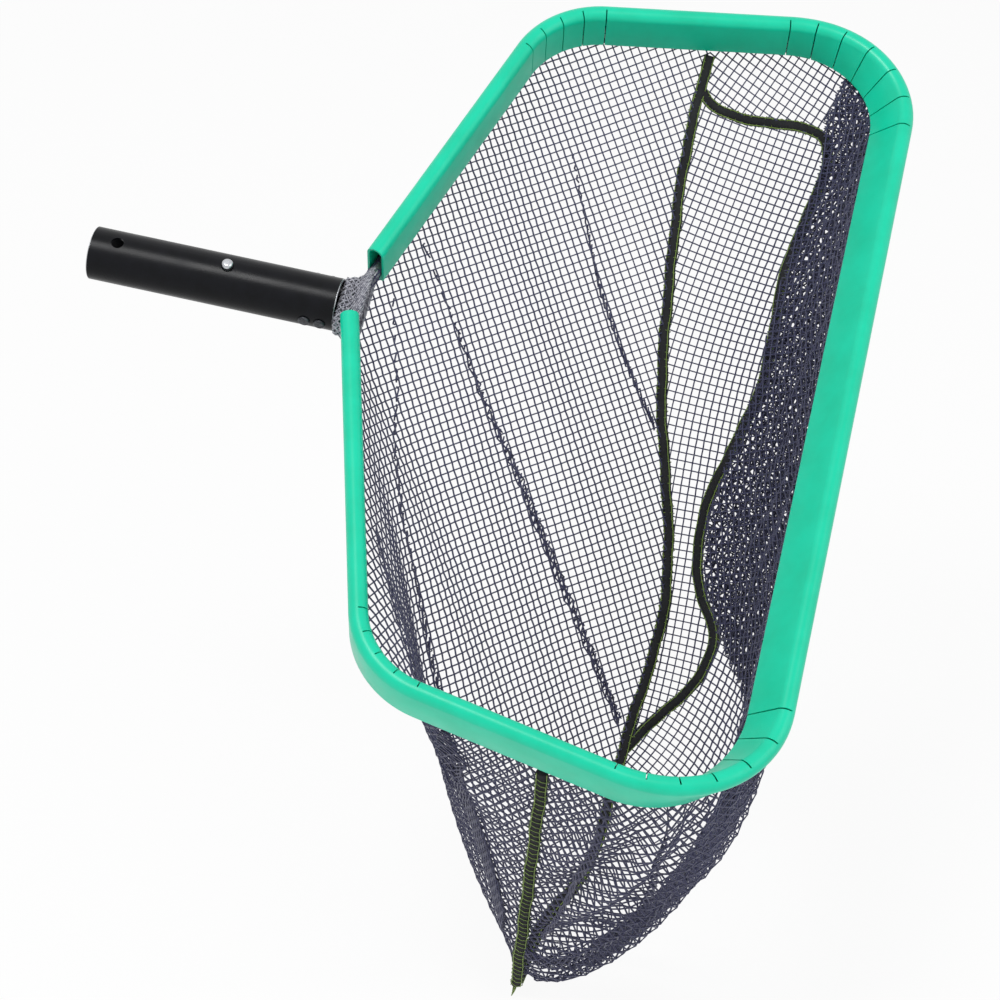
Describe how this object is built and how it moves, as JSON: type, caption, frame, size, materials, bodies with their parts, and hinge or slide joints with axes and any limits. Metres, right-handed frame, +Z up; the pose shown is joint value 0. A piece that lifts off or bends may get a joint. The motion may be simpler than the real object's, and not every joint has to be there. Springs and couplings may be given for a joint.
{
  "type": "leaf skimmer net",
  "caption": "Pool leaf skimmer: a bent rod hoop with a press-on edge guard, a deep sewn net bag, and a short tube handle with a spring clip that locks in a pole.",
  "frame": {"origin": "Centre of the handle tube's open end, where it goes into a pole.", "axes": "+X along the handle towards the net, +Z up as the net is held with the bag hanging down, -Y the side on which the hoop hangs lower."},
  "size_m": [0.4151, 0.431, 0.4718],
  "materials": {
    "handle": "satin black coating on aluminium tube, bare cut ends",
    "rod": "drawn rod, mill finish",
    "rivet": "bare pop rivets",
    "guard": "semi-gloss moulded green plastic",
    "net": "dark woven net with square holes",
    "binding": "black binding tape with green overlock thread",
    "spring_steel": "tempered strip",
    "button": "polished button"
  },
  "bodies": {
    "net_head": {"handle_tube": "handle", "frame_rod": "rod", "leg_rivets": "rivet", "edge_guard": "guard", "net_hem": "net", "net_back_panel": "net", "net_front_panel": "net", "net_gusset_panel": "net", "side_seam_far": "binding", "side_seam_near": "binding", "gusset_seam": "binding", "seam_tail": "binding", "spring_clip": "spring_steel"},
    "button_top": {"lock_button_top": "button"},
    "button_bottom": {"lock_button_bottom": "button"}
  },
  "joints": [
    {"name": "button_top_press", "type": "slide", "parent": "net_head", "child": "button_top", "axis": [0, 0.5, -0.866], "range_m": [0, 0.0036], "stiffness_N_per_m": 2500, "springref_m": -0.002, "deforming": ["spring_clip"]},
    {"name": "button_bottom_press", "type": "slide", "parent": "net_head", "child": "button_bottom", "axis": [0, -0.5, 0.866], "range_m": [0, 0.0036], "stiffness_N_per_m": 2500, "springref_m": -0.002, "deforming": ["spring_clip"]}
  ]
}
